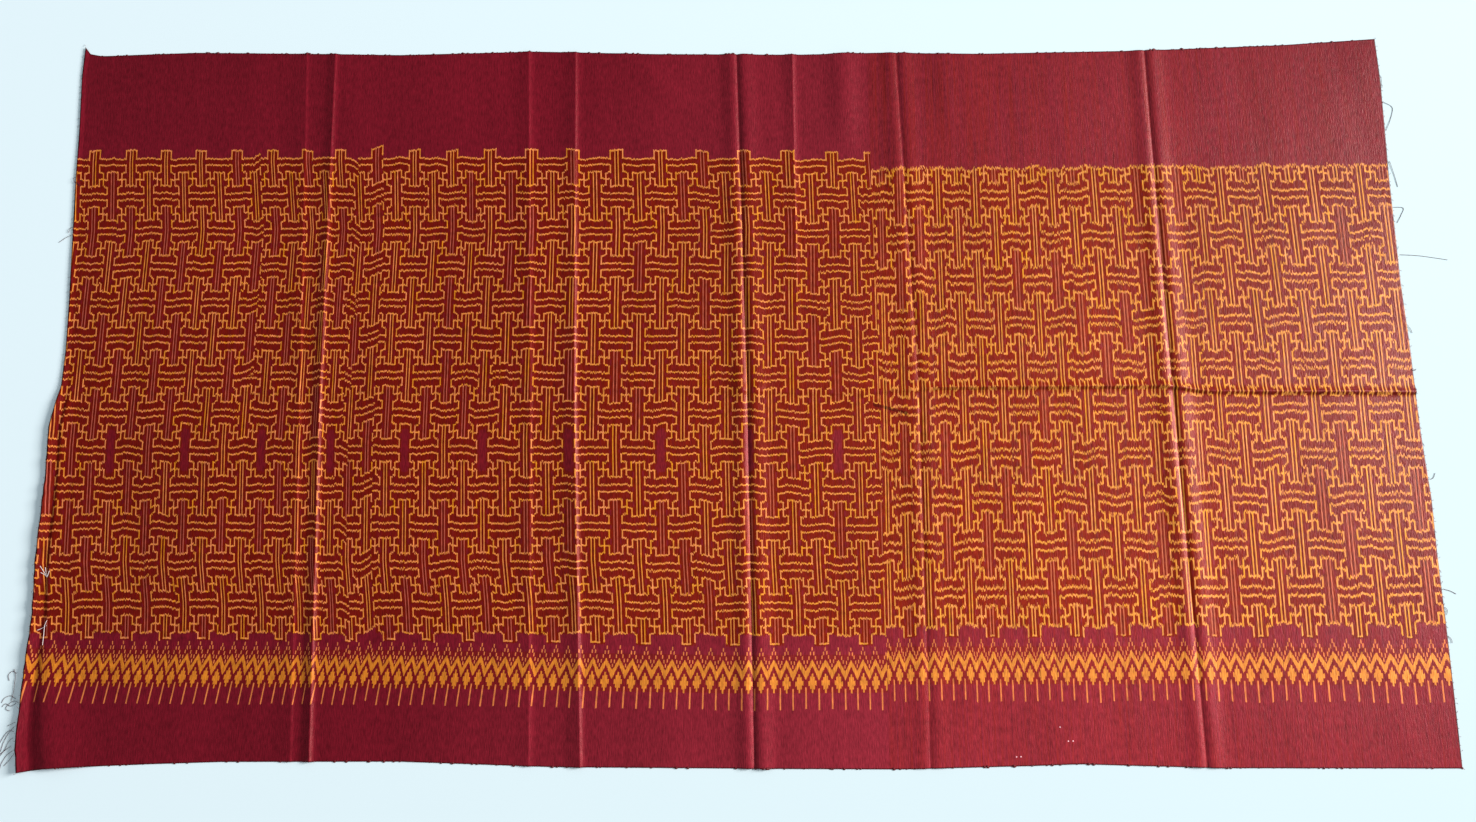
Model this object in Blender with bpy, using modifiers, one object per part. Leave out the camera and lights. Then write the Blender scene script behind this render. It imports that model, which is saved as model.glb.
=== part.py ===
# Ikat woven cloth, one flat-laid panel of weft-tied silk with the creases of its former folding.
# Metres, +Z up. X runs along the length (warp), Y across the width (weft), the worked face is up.
import bpy
import numpy as np

# Width between the selvedges, before the outline bends them, and the sheet's thickness
CLOTH_WIDTH = 0.99
SHEET_THICKNESS = 0.0012
COLLECTION_NAME = "ikat_woven_cloth"

# Outline, each edge given as its own short run of points; along is the running coordinate
TOP_EDGE = {
    "along": [-0.924, -0.916, -0.899, -0.764, -0.566, -0.472, -0.279,
              -0.107, 0.099, 0.207, 0.353, 0.580, 0.783, 0.914],
    "edge": [0.502, 0.491, 0.4875, 0.4915, 0.4875, 0.485, 0.4885,
             0.483, 0.480, 0.482, 0.479, 0.4815, 0.488, 0.496],
}
BOTTOM_EDGE = {
    "along": [-0.922, -0.877, -0.750, -0.655, -0.426, -0.230,
              0.085, 0.214, 0.377, 0.441, 0.619, 0.923],
    "edge": [-0.496, -0.490, -0.4855, -0.483, -0.4835, -0.491,
             -0.4945, -0.4955, -0.492, -0.490, -0.4955, -0.497],
}
LEFT_EDGE = {
    "along": [-0.496, -0.461, -0.366, -0.299, -0.223, -0.112, -0.045, -0.009,
              0.010, 0.058, 0.128, 0.302, 0.376, 0.452, 0.500],
    "edge": [-0.918, -0.924, -0.922, -0.919, -0.922, -0.920, -0.922, -0.915,
             -0.910, -0.909, -0.911, -0.919, -0.921, -0.925, -0.924],
}
RIGHT_EDGE = {
    "along": [-0.497, -0.403, -0.308, -0.223, -0.150, -0.060, 0.055, 0.143, 0.299, 0.430, 0.496],
    "edge": [0.923, 0.923, 0.9225, 0.9215, 0.922, 0.9175, 0.916, 0.913, 0.913, 0.916, 0.914],
}

# Creases across the width, left to right. x_* is where the crease line runs at that height of the cloth,
# reach_left and reach_right how far its slopes go, lift_* its height; a valley is a trough between two slopes.
CREASES = [
    {"name": "low ridge", "valley": False, "x_top": -0.604, "x_mid": -0.584, "x_low": -0.566,
     "reach_left": 0.020, "reach_right": 0.011, "lift_top": 0.0015, "lift_mid": 0.0030, "lift_low": 0.0025},
    {"name": "first fold", "valley": False, "x_top": -0.563, "x_mid": -0.556, "x_low": -0.541,
     "reach_left": 0.012, "reach_right": 0.026, "lift_top": 0.0045, "lift_mid": 0.0060, "lift_low": 0.0070},
    {"name": "soft ridge", "valley": False, "x_top": -0.287, "x_mid": -0.272, "x_low": -0.261,
     "reach_left": 0.018, "reach_right": 0.020, "lift_top": 0.0025, "lift_mid": 0.0025, "lift_low": 0.0025},
    {"name": "second fold", "valley": False, "x_top": -0.220, "x_mid": -0.2125, "x_low": -0.195,
     "reach_left": 0.014, "reach_right": 0.028, "lift_top": 0.0045, "lift_mid": 0.0055, "lift_low": 0.0065},
    {"name": "middle fold", "valley": True, "x_top": 0.009, "x_mid": 0.021, "x_low": 0.027,
     "reach_left": 0.026, "reach_right": 0.030, "lift_top": 0.0040, "lift_mid": 0.0050, "lift_low": 0.0055},
    {"name": "short ridge", "valley": False, "x_top": 0.088, "x_mid": 0.090, "x_low": 0.092,
     "reach_left": 0.016, "reach_right": 0.018, "lift_top": 0.0045, "lift_mid": 0.0, "lift_low": 0.0},
    {"name": "third fold", "valley": True, "x_top": 0.235, "x_mid": 0.252, "x_low": 0.251,
     "reach_left": 0.024, "reach_right": 0.026, "lift_top": 0.0040, "lift_mid": 0.0035, "lift_low": 0.0025},
    {"name": "fourth fold", "valley": True, "x_top": 0.587, "x_mid": 0.592, "x_low": 0.601,
     "reach_left": 0.026, "reach_right": 0.028, "lift_top": 0.0045, "lift_mid": 0.0050, "lift_low": 0.0045},
]
HEIGHT_STATIONS = [-0.49, 0.0, 0.49]

# The fold along the length, a low ridge near the middle of the width that fades to the left
LONG_FOLD = {
    "along": [-0.92, -0.45, -0.05, 0.16, 0.30, 0.58, 0.64, 0.92],
    "line_y": [-0.002, -0.002, -0.003, -0.010, -0.002, -0.002, -0.010, -0.013],
    "lift": [0.0, 0.0008, 0.0012, 0.0015, 0.0030, 0.0032, 0.0030, 0.0026],
}
LONG_FOLD_REACH = 0.020

# One broad soft wave in the plain field at the top, right of the middle
WAVE_CENTRE_X = 0.160
WAVE_HALF_LENGTH = 0.030
WAVE_LIFT = 0.0050
WAVE_FADE_FROM_Y = 0.300
WAVE_FADE_OVER = 0.120

# The left end turns up, more in the lower half; beside it the cloth stands up a little behind a trough
EDGE_CURL = {
    "along": [-0.50, -0.38, -0.30, -0.02, 0.02, 0.50],
    "curl_lift": [0.0060, 0.0070, 0.0075, 0.0060, 0.0020, 0.0015],
    "curl_width": [0.014, 0.017, 0.018, 0.015, 0.007, 0.006],
    "bank_lift": [0.0055, 0.0045, 0.0020, 0.0016, 0.0, 0.0],
    "bank_near": [0.028, 0.024, 0.004, 0.004, 0.004, 0.004],
    "bank_far": [0.034, 0.030, 0.014, 0.012, 0.012, 0.012],
}

# Where the sheet has lines: shares of a crease's reach, of the wave, of the curl and of the bank beside it
CREASE_LINE_SHARES = (-1.0, -0.62, -0.30, 0.0, 0.30, 0.62, 1.0)
WAVE_LINE_SHARES = (-0.5, 0.0, 0.5, 1.0)
CURL_LINE_SHARES = (0.0, 0.30, 0.65, 1.0)
BANK_RISE_LINE_SHARES = (0.5, 1.0)
BANK_FALL_LINE_SHARES = (0.35, 1.0)
FLAT_LINE_SPACING = 0.060
ROWS_BELOW_LONG_FOLD = 9
ROWS_ABOVE_LONG_FOLD = 9
LONG_FOLD_LINES = [-0.020, -0.008, 0.0, 0.008, 0.020]

# Makes the top of a trough's bank, at a third of its reach, exactly one
BANK_PEAK_FACTOR = 6.75
CURL_POWER = 1.5

CLOTH_COLOUR = (0.20, 0.015, 0.02, 1.0)
CLOTH_ROUGHNESS = 0.75


def from_table(table, column, along):
    """Value of a named column at a place along the table."""
    return np.interp(along, table["along"], table[column])


def crease_value(crease, prefix, y):
    """Value of a crease at a height y, from its low, middle and top columns."""
    stations = [crease[prefix + "_low"], crease[prefix + "_mid"], crease[prefix + "_top"]]
    return np.interp(y, HEIGHT_STATIONS, stations)


def crease_lift(crease, x, y):
    """Lift of one crease: a sharp line with hollow slopes, or a trough between two rounded banks."""
    distance = x - crease_value(crease, "x", y)
    reach = np.where(distance < 0.0, crease["reach_left"], crease["reach_right"])
    share = np.clip(np.abs(distance) / reach, 0.0, 1.0)
    bank = BANK_PEAK_FACTOR * share * (1.0 - share) ** 2
    ridge = (1.0 - share) ** 2
    return crease_value(crease, "lift", y) * (bank if crease["valley"] else ridge)


def long_fold_lift(x, y):
    """Lift of the fold that runs along the length."""
    share = np.clip(np.abs(y - from_table(LONG_FOLD, "line_y", x)) / LONG_FOLD_REACH, 0.0, 1.0)
    return from_table(LONG_FOLD, "lift", x) * (1.0 - share) ** 2


def wave_lift(x, y):
    """Lift of the broad wave at the top, which fades out downwards."""
    share = np.clip(np.abs(x - WAVE_CENTRE_X) / WAVE_HALF_LENGTH, 0.0, 1.0)
    fade = np.clip((y - WAVE_FADE_FROM_Y) / WAVE_FADE_OVER, 0.0, 1.0)
    return WAVE_LIFT * fade * 0.5 * (1.0 + np.cos(np.pi * share))


def left_end_lift(x, y):
    """Lift of the turned-up left end and of the low bank beside its trough."""
    inward = x - from_table(LEFT_EDGE, "edge", y)
    width = from_table(EDGE_CURL, "curl_width", y)
    curl = np.clip(1.0 - inward / width, 0.0, 1.0) ** CURL_POWER
    near = from_table(EDGE_CURL, "bank_near", y)
    far = from_table(EDGE_CURL, "bank_far", y)
    from_trough = inward - width
    rise = np.clip(from_trough / near, 0.0, 1.0)
    fall = np.clip(1.0 - (from_trough - near) / far, 0.0, 1.0) ** 2
    bank = np.where(from_trough < near, rise, fall)
    return from_table(EDGE_CURL, "curl_lift", y) * curl + from_table(EDGE_CURL, "bank_lift", y) * bank


def sheet_lift(x, y):
    """Height of the underside of the cloth above the surface it lies on."""
    lift = long_fold_lift(x, y) + wave_lift(x, y) + left_end_lift(x, y)
    for crease in CREASES:
        lift = lift + crease_lift(crease, x, y)
    return lift


def column_lines(y):
    """The x of every line across the width at a height y: edges, left end, creases, and flat runs between."""
    left = from_table(LEFT_EDGE, "edge", y)
    right = from_table(RIGHT_EDGE, "edge", y)
    width = from_table(EDGE_CURL, "curl_width", y)
    near = from_table(EDGE_CURL, "bank_near", y)
    far = from_table(EDGE_CURL, "bank_far", y)
    trough = left + width
    lines = [left + share * width for share in CURL_LINE_SHARES]
    lines += [trough + share * near for share in BANK_RISE_LINE_SHARES]
    lines += [trough + near + share * far for share in BANK_FALL_LINE_SHARES]
    for crease in CREASES:
        line = crease_value(crease, "x", y)
        for share in CREASE_LINE_SHARES:
            lines.append(line + share * (crease["reach_left"] if share < 0.0 else crease["reach_right"]))
        if crease["name"] == "short ridge":
            for share in WAVE_LINE_SHARES:
                lines.append(WAVE_CENTRE_X + share * WAVE_HALF_LENGTH)
    lines.append(right)
    return lines


def filled_columns(y, runs):
    """The same lines with the long flat runs between them split evenly."""
    lines = column_lines(y)
    filled = []
    for start, end, parts in zip(lines[:-1], lines[1:], runs):
        filled += [start + (end - start) * part / parts for part in range(parts)]
    return filled + [lines[-1]]


def row_heights():
    """The y of every line along the length, before the outline bends it."""
    lower = np.linspace(-CLOTH_WIDTH / 2, LONG_FOLD_LINES[0], ROWS_BELOW_LONG_FOLD, endpoint=False)
    upper = np.linspace(CLOTH_WIDTH / 2, LONG_FOLD_LINES[-1], ROWS_ABOVE_LONG_FOLD, endpoint=False)[::-1]
    return list(lower) + LONG_FOLD_LINES + list(upper)


def bend_rows(y, x):
    """A row's y at x, moved so the first and last rows follow the outline and the middle ones the long fold."""
    top_shift = from_table(TOP_EDGE, "edge", x) - CLOTH_WIDTH / 2
    bottom_shift = from_table(BOTTOM_EDGE, "edge", x) + CLOTH_WIDTH / 2
    share = 2.0 * y / CLOTH_WIDTH
    middle = from_table(LONG_FOLD, "line_y", x) * (1.0 - abs(share)) ** 2
    return y + max(share, 0.0) ** 2 * top_shift + max(-share, 0.0) ** 2 * bottom_shift + middle


def make_cloth(collection):
    """The panel: a grid laid on the outline and the creases, then given its thickness upwards."""
    middle_lines = column_lines(0.0)
    gaps = np.diff(middle_lines)
    runs = [max(1, int(round(gap / FLAT_LINE_SPACING))) for gap in gaps]
    rows = row_heights()
    columns_per_row = [filled_columns(y, runs) for y in rows]
    across = len(columns_per_row[0])
    bpy.ops.mesh.primitive_grid_add(x_subdivisions=across - 1, y_subdivisions=len(rows) - 1, size=2.0)
    cloth = bpy.context.object
    cloth.name = "cloth"
    cloth.data.name = "cloth"
    places = np.empty(len(cloth.data.vertices) * 3)
    cloth.data.vertices.foreach_get("co", places)
    places = places.reshape(-1, 3)
    column_of = np.rint((places[:, 0] + 1.0) / 2.0 * (across - 1)).astype(int)
    row_of = np.rint((places[:, 1] + 1.0) / 2.0 * (len(rows) - 1)).astype(int)
    for index, (column, row) in enumerate(zip(column_of, row_of)):
        x = columns_per_row[row][column]
        y = bend_rows(rows[row], x)
        places[index] = (x, y, sheet_lift(np.array(x), np.array(y)))
    centre = (places.max(axis=0) + places.min(axis=0)) / 2.0
    places[:, :2] -= centre[:2]
    cloth.data.vertices.foreach_set("co", places.ravel())
    cloth.data.update()
    thickness = cloth.modifiers.new("thickness", "SOLIDIFY")
    thickness.thickness = SHEET_THICKNESS
    thickness.offset = 1.0
    thickness.use_even_offset = False
    for owner in list(cloth.users_collection):
        owner.objects.unlink(cloth)
    collection.objects.link(cloth)
    return cloth


def make_material():
    """Closely woven silk in deep crimson."""
    material = bpy.data.materials.new("ikat_cloth")
    material.use_nodes = True
    shader = material.node_tree.nodes["Principled BSDF"]
    shader.inputs["Base Color"].default_value = CLOTH_COLOUR
    shader.inputs["Roughness"].default_value = CLOTH_ROUGHNESS
    shader.inputs["Metallic"].default_value = 0.0
    material.diffuse_color = CLOTH_COLOUR
    return material


for old in list(bpy.data.objects):
    bpy.data.objects.remove(old, do_unlink=True)
panel_collection = bpy.data.collections.new(COLLECTION_NAME)
bpy.context.scene.collection.children.link(panel_collection)
panel = make_cloth(panel_collection)
panel.data.materials.append(make_material())
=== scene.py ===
import bpy
import math
import numpy as np
from mathutils import Matrix, Vector


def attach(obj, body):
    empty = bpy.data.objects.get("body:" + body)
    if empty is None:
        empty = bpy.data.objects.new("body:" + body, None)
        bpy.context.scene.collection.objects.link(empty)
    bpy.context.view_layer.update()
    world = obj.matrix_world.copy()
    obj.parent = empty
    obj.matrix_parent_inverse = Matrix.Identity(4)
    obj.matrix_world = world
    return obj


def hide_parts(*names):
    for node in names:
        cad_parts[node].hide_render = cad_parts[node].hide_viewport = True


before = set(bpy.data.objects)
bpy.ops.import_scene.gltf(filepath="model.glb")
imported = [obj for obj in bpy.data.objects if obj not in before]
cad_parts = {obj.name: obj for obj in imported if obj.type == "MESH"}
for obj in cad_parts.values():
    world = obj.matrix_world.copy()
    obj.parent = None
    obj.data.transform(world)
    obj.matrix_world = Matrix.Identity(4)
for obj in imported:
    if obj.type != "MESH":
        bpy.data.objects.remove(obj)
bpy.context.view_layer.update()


# The table sheet that the cloth lies on
# A plain pale cotton cover, pulled flat. It belongs to the room and not to the object.
COTTON_SHADED, COTTON_LIT = (0.80, 0.92, 0.97), (0.46, 0.56, 0.59)  # far from the window and near it
COTTON_GRADED = 1.1  # each is reached this far from the middle
TABLE_REACH = 6.0


def plain_material(name, colour, roughness, gloss):
    """A material of one colour, ready for more nodes."""
    material = bpy.data.materials.new(name)
    material.use_nodes = True
    shader = material.node_tree.nodes["Principled BSDF"]
    shader.inputs["Base Color"].default_value = (*colour, 1.0)
    shader.inputs["Roughness"].default_value = roughness
    shader.inputs["Specular IOR Level"].default_value = gloss
    return material, shader


def new_object(name, vertices, faces, material, edges=()):
    """A mesh object in the scene, with one material."""
    mesh = bpy.data.meshes.new(name)
    mesh.from_pydata([tuple(v) for v in vertices], edges, [tuple(f) for f in faces])
    mesh.materials.append(material)
    made = bpy.data.objects.new(name, mesh)
    bpy.context.scene.collection.objects.link(made)
    return made


def make_table_sheet():
    """The pale cover, a little greyer towards the window so that it reads evenly white."""
    material, shader = plain_material("table_cotton", COTTON_SHADED, 0.9, 0.1)
    nodes, links = material.node_tree.nodes, material.node_tree.links
    place = nodes.new("ShaderNodeTexCoord")
    split = nodes.new("ShaderNodeSeparateXYZ")
    links.new(place.outputs["Object"], split.inputs[0])
    across = nodes.new("ShaderNodeMapRange")
    across.inputs["From Min"].default_value = -COTTON_GRADED
    across.inputs["From Max"].default_value = COTTON_GRADED
    links.new(split.outputs["X"], across.inputs["Value"])
    tone = nodes.new("ShaderNodeMix")
    tone.data_type = "RGBA"
    tone.inputs["A"].default_value = (*COTTON_SHADED, 1.0)
    tone.inputs["B"].default_value = (*COTTON_LIT, 1.0)
    links.new(across.outputs["Result"], tone.inputs["Factor"])
    links.new(tone.outputs["Result"], shader.inputs["Base Color"])
    corners = [(a * TABLE_REACH, b * TABLE_REACH, 0.0) for a, b in ((-1, -1), (1, -1), (1, 1), (-1, 1))]
    return new_object("table_sheet", corners, [(0, 1, 2, 3)], material)


table_sheet = make_table_sheet()


# The silk panel, its shape
# One length of hand-woven silk cut across the warp, creased by its old folding and laid out flat.
# It is a thin closed sheet on the folds of its CAD solid, with softer waves between the creases.
CENTRE = (-0.00074269, 0.0025)  # the part was centred by this much
WIDTH = 0.99  # from side to side, before the rows are drawn to the sides' own lines
MILLIMETRE = 0.001
SILK_THICKNESS = 0.00035
RIM = 0.0012  # the last line of the mesh before an edge is this far in

# The outline: x and y along the two sides, then y and x along the two cut ends
TOP_EDGE = [(-0.924, 0.502), (-0.916, 0.491), (-0.899, 0.4875), (-0.764, 0.4915), (-0.566, 0.4875),
            (-0.472, 0.485), (-0.279, 0.4885), (-0.107, 0.483), (0.099, 0.480), (0.207, 0.482),
            (0.353, 0.479), (0.580, 0.4815), (0.783, 0.488), (0.914, 0.496)]
BOTTOM_EDGE = [(-0.922, -0.496), (-0.877, -0.490), (-0.750, -0.4855), (-0.655, -0.483),
               (-0.426, -0.4835), (-0.230, -0.491), (0.085, -0.4945), (0.214, -0.4955),
               (0.377, -0.492), (0.441, -0.490), (0.619, -0.4955), (0.923, -0.497)]
LEFT_END = [(-0.496, -0.918), (-0.461, -0.924), (-0.366, -0.922), (-0.299, -0.919), (-0.223, -0.922),
            (-0.112, -0.920), (-0.045, -0.922), (-0.009, -0.915), (0.010, -0.910), (0.058, -0.909),
            (0.128, -0.911), (0.302, -0.919), (0.376, -0.921), (0.452, -0.925), (0.500, -0.924)]
RIGHT_END = [(-0.497, 0.923), (-0.403, 0.923), (-0.308, 0.9225), (-0.223, 0.9215), (-0.150, 0.922),
             (-0.060, 0.9175), (0.055, 0.916), (0.143, 0.913), (0.299, 0.913), (0.430, 0.916),
             (0.496, 0.914)]

# Creases from left to right. The line's x and the lift are given at the bottom, middle and top of
# the width, the reach to the left and right. A valley is a trough between two banks.
CREASE_HEIGHTS = (-0.49, 0.0, 0.49)
CREASES = [
    dict(line=(-0.566, -0.584, -0.604), reach=(0.022, 0.010), lift=(0.0015, 0.0018, 0.0011), valley=False),
    dict(line=(-0.541, -0.556, -0.563), reach=(0.014, 0.014), lift=(0.0044, 0.0036, 0.0025), valley=False),
    dict(line=(-0.261, -0.272, -0.287), reach=(0.020, 0.018), lift=(0.0021, 0.0021, 0.0021), valley=False),
    dict(line=(-0.195, -0.2125, -0.220), reach=(0.022, 0.014), lift=(0.0038, 0.0034, 0.0025), valley=False),
    dict(line=(0.027, 0.021, 0.009), reach=(0.026, 0.030), lift=(0.0036, 0.0034, 0.0028), valley=True),
    dict(line=(0.092, 0.090, 0.088), reach=(0.016, 0.018), lift=(0.0, 0.0, 0.0030), valley=False),
    dict(line=(0.251, 0.252, 0.235), reach=(0.026, 0.030), lift=(0.0014, 0.0013, 0.0019), valley=True),
    dict(line=(0.601, 0.592, 0.587), reach=(0.026, 0.028), lift=(0.0021, 0.0024, 0.0020), valley=True),
]
VALLEY_PEAK = 6.75  # makes a bank's top, at a third of its reach, exactly one
RISING_SIDE = 1.15  # the power by which a ridge rises on its left, almost evenly
PRESSED_SIDE = 4.4  # and by which it falls off on its right, where it was ironed flat
CREASE_STEPS = (-1.0, -0.75, -0.5, -0.35, -0.22, -0.12, -0.05, 0.0, 0.05, 0.12, 0.22, 0.35, 0.5, 0.75, 1.0)
LONG_FOLD_LINE = [(-0.92, -0.002), (-0.05, -0.003), (0.16, -0.010), (0.30, -0.002), (0.58, -0.002),
                  (0.64, -0.010), (0.92, -0.013)]
LONG_FOLD_LIFT = [(-0.92, 0.0), (-0.45, 0.0008), (0.16, 0.0015), (0.30, 0.0036), (0.58, 0.0038),
                  (0.92, 0.0030)]
LONG_FOLD_BELOW, LONG_FOLD_ABOVE = 0.0055, 0.014  # it falls steeply on its near side
# The left end from bottom to top: its turned-up edge, and the bank beside the trough
CURL_LIFT = [(-0.50, 0.0066), (-0.38, 0.0060), (-0.28, 0.0062), (-0.02, 0.0050), (0.02, 0.0020),
             (0.50, 0.0015)]
CURL_WIDTH = [(-0.50, 0.015), (-0.47, 0.014), (-0.41, 0.010), (-0.376, 0.013), (-0.30, 0.013),
              (-0.02, 0.011), (0.02, 0.007), (0.50, 0.006)]
CURL_STEPS = (0.0, 0.1, 0.2, 0.35, 0.5, 0.65, 0.82, 1.0)
CURL_DRAWN_IN = 0.66  # for each metre that it is turned up
CURL_HOLLOW, BANK_HOLLOW = 1.1, 1.6  # powers by which they fall off
CRUMPLE = 0.0007  # how much the turned-up edge is crumpled along its lower half
CRUMPLE_END, CRUMPLE_FADE = -0.04, 0.08
BANK_LIFT = [(-0.50, 0.0078), (-0.41, 0.0062), (-0.376, 0.0036), (-0.33, 0.0024), (-0.02, 0.0017),
             (0.02, 0.0), (0.50, 0.0)]
BANK_NEAR = [(-0.50, 0.027), (-0.47, 0.025), (-0.41, 0.021), (-0.376, 0.0105), (-0.34, 0.0070),
             (-0.25, 0.0045), (0.50, 0.004)]
BANK_FAR = [(-0.50, 0.075), (-0.41, 0.065), (-0.33, 0.020), (-0.02, 0.014), (0.50, 0.012)]
# Wrinkles: start, end, height and reach to the sides
WRINKLES = [
    ((0.186, -0.0215), (0.240, -0.036), 0.0034, 0.0036),
    ((0.220, -0.014), (0.256, -0.039), 0.0030, 0.0026),
    ((-0.165, 0.492), (-0.050, 0.395), 0.0015, 0.011),
    ((0.000, 0.012), (0.022, -0.010), 0.0016, 0.005),
    ((0.022, -0.010), (0.050, 0.010), 0.0014, 0.005),
]
WAVE_LINE, WAVE_REACH, WAVE_LIFT = 0.160, 0.030, 0.0036  # a soft wave at the far side, left of the join
PLEAT_LINE, PLEAT_REACH, PLEAT_LIFT = 0.303, 0.005, 0.0010  # and a thin one, right of it
SLACK = 0.00013  # the unevenness of a cloth smoothed by hand
JOIN_LINE = [(-0.50, 0.199), (0.10, 0.199), (0.33, 0.195), (0.50, 0.194)]  # where the dye batch changes
BEFORE_JOIN = 5  # the number of the last crease before it, counted from nothing
MESH_STEP = 0.009  # between two columns of the mesh, at most about this
ROWS = 52  # of the mesh on each side of the long fold
FOLD_ROWS = np.array([-0.020, -0.014, -0.009, -0.005, -0.002, 0.0, 0.002, 0.005, 0.009, 0.014, 0.020])


def read(table, at):
    """Value of a table of (place, value) pairs at one or many places."""
    return np.interp(at, [row[0] for row in table], [row[1] for row in table])


def across_width(values, y):
    """A crease's value at a height y of the cloth."""
    return np.interp(y, CREASE_HEIGHTS, values)


def crease_lift(crease, x, y):
    """A pressed crease: a ridge that drops steeply on its right, or a trough between two banks."""
    distance = x - across_width(crease["line"], y)
    share = np.clip(np.abs(distance) / np.where(distance < 0.0, *crease["reach"]), 0.0, 1.0)
    if crease["valley"]:
        return across_width(crease["lift"], y) * VALLEY_PEAK * share * (1.0 - share) ** 2
    power = np.where(distance < 0.0, RISING_SIDE, PRESSED_SIDE)
    return across_width(crease["lift"], y) * (1.0 - share) ** power


def left_end(y):
    """The left end's line: where it is turned up it stands further in than the flat cut would."""
    return read(LEFT_END, y) + CURL_DRAWN_IN * read(CURL_LIFT, y)


def left_end_lift(x, y):
    """The turned-up left end, its trough and the low bank beside it."""
    inward = x - left_end(y)
    width, near, far = read(CURL_WIDTH, y), read(BANK_NEAR, y), read(BANK_FAR, y)
    curl = np.clip(1.0 - inward / width, 0.0, 1.0) ** CURL_HOLLOW
    beyond = inward - width
    rise = np.clip(beyond / near, 0.0, 1.0)
    fall = np.clip(1.0 - (beyond - near) / far, 0.0, 1.0) ** BANK_HOLLOW
    crumple = CRUMPLE * np.sin(y * 290.0 + 2.6 * np.sin(y * 83.0))
    crumple = crumple * np.clip((CRUMPLE_END - y) / CRUMPLE_FADE, 0.0, 1.0)
    bank = read(BANK_LIFT, y) * np.where(beyond < near, rise, fall)
    return (read(CURL_LIFT, y) + crumple) * curl + bank


def wrinkle(x, y, start, end, height, reach):
    """A short soft wrinkle from start to end, with pointed ends."""
    run = np.subtract(end, start)
    along = ((x - start[0]) * run[0] + (y - start[1]) * run[1]) / (run @ run)
    aside = ((x - start[0]) * run[1] - (y - start[1]) * run[0]) / np.hypot(*run)
    ends = np.clip(4.0 * along * (1.0 - along), 0.0, 1.0)
    return height * ends * np.exp(-((aside / reach) ** 2))


def panel_height(x, y):
    """Height of the panel's underside above the table."""
    aside = y - read(LONG_FOLD_LINE, x)
    share = np.clip(np.abs(aside) / np.where(aside < 0.0, LONG_FOLD_BELOW, LONG_FOLD_ABOVE), 0.0, 1.0)
    lift = read(LONG_FOLD_LIFT, x) * (1.0 - share) ** 2
    wave_share = np.clip(np.abs(x - WAVE_LINE) / WAVE_REACH, 0.0, 1.0)
    wave_fade = np.clip((y - 0.300) / 0.120, 0.0, 1.0)
    lift = lift + WAVE_LIFT * wave_fade * 0.5 * (1.0 + np.cos(np.pi * wave_share))
    lift = lift + left_end_lift(x, y)
    for crease in CREASES:
        lift = lift + crease_lift(crease, x, y)
    for start, end, height, reach in WRINKLES:
        lift = lift + wrinkle(x, y, start, end, height, reach)
    pleat_fade = np.clip((y - 0.20) / 0.2, 0.0, 1.0)
    lift = lift + PLEAT_LIFT * np.exp(-(((x - PLEAT_LINE) / PLEAT_REACH) ** 2)) * pleat_fade
    slack = np.sin(x * 71.0 + 2.1 * np.sin(y * 6.3)) * np.sin(y * 23.0 + x * 17.0 + 1.3)
    slack = slack + 0.6 * np.sin(x * 39.0 - y * 47.0 + 0.7) + 0.5 * np.sin(x * 128.0 + y * 31.0)
    return lift + SLACK * (slack + 2.1)  # 2.1 is the deepest hollow, which lies on the table


def panel_columns(y):
    """The x of the mesh's main columns at a height y: both ends, bank, creases and join."""
    left, width = left_end(y), read(CURL_WIDTH, y)
    near, far = read(BANK_NEAR, y), read(BANK_FAR, y)
    lines = [left + share * width for share in CURL_STEPS]
    lines += [left + width + share * near for share in (0.33, 0.67, 1.0)]
    lines += [left + width + near + share * far for share in (0.2, 0.4, 0.6, 0.8, 1.0)]
    for number, crease in enumerate(CREASES):
        line = across_width(crease["line"], y)
        lines += [line + share * crease["reach"][share > 0.0] for share in CREASE_STEPS]
        if number == BEFORE_JOIN:
            lines += [WAVE_LINE - WAVE_REACH / 2, WAVE_LINE, WAVE_LINE + WAVE_REACH / 2, read(JOIN_LINE, y)]
    lines += [read(RIGHT_END, y) - RIM, read(RIGHT_END, y)]
    return lines


def panel_grid():
    """Places of the panel's vertices as two arrays, rows from bottom to top."""
    gaps = np.diff(panel_columns(0.0))
    parts = [max(1, int(round(gap / MESH_STEP))) for gap in gaps]
    low = np.append(-WIDTH / 2, np.linspace(RIM - WIDTH / 2, FOLD_ROWS[0], ROWS, endpoint=False))
    rows = np.concatenate([low, FOLD_ROWS, -low[::-1]])
    xs = []
    for row in rows:
        lines = panel_columns(row)
        filled = [a + (b - a) * i / n for a, b, n in zip(lines[:-1], lines[1:], parts) for i in range(n)]
        xs.append(filled + [lines[-1]])
    xs = np.array(xs)
    ys = np.repeat(rows[:, None], xs.shape[1], axis=1)
    share = 2.0 * ys / WIDTH
    up, down = np.clip(share, 0.0, 1.0), np.clip(-share, 0.0, 1.0)
    ys = (ys + up**2 * (read(TOP_EDGE, xs) - WIDTH / 2) + down**2 * (read(BOTTOM_EDGE, xs) + WIDTH / 2)
          + read(LONG_FOLD_LINE, xs) * (1.0 - np.abs(share)) ** 2)
    return xs, ys


# Bar columns of the woven motif, measured along the middle of the cloth. The columns of the left
# dye batch are two half repeats apart, and so are those of the right batch from the join on.
LEFT_BARS = [-0.941, -0.888, -0.835, -0.785, -0.735, -0.683, -0.632, -0.582, -0.539, -0.490, -0.439,
             -0.387, -0.335, -0.277, -0.219, -0.1575, -0.0955, -0.0366, 0.022, 0.081, 0.142, 0.199, 0.256]
RIGHT_BARS = [0.182, 0.2316, 0.2867, 0.3384, 0.392, 0.446, 0.5076, 0.567, 0.624, 0.6836, 0.748,
              0.8126, 0.875, 0.937]
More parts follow.
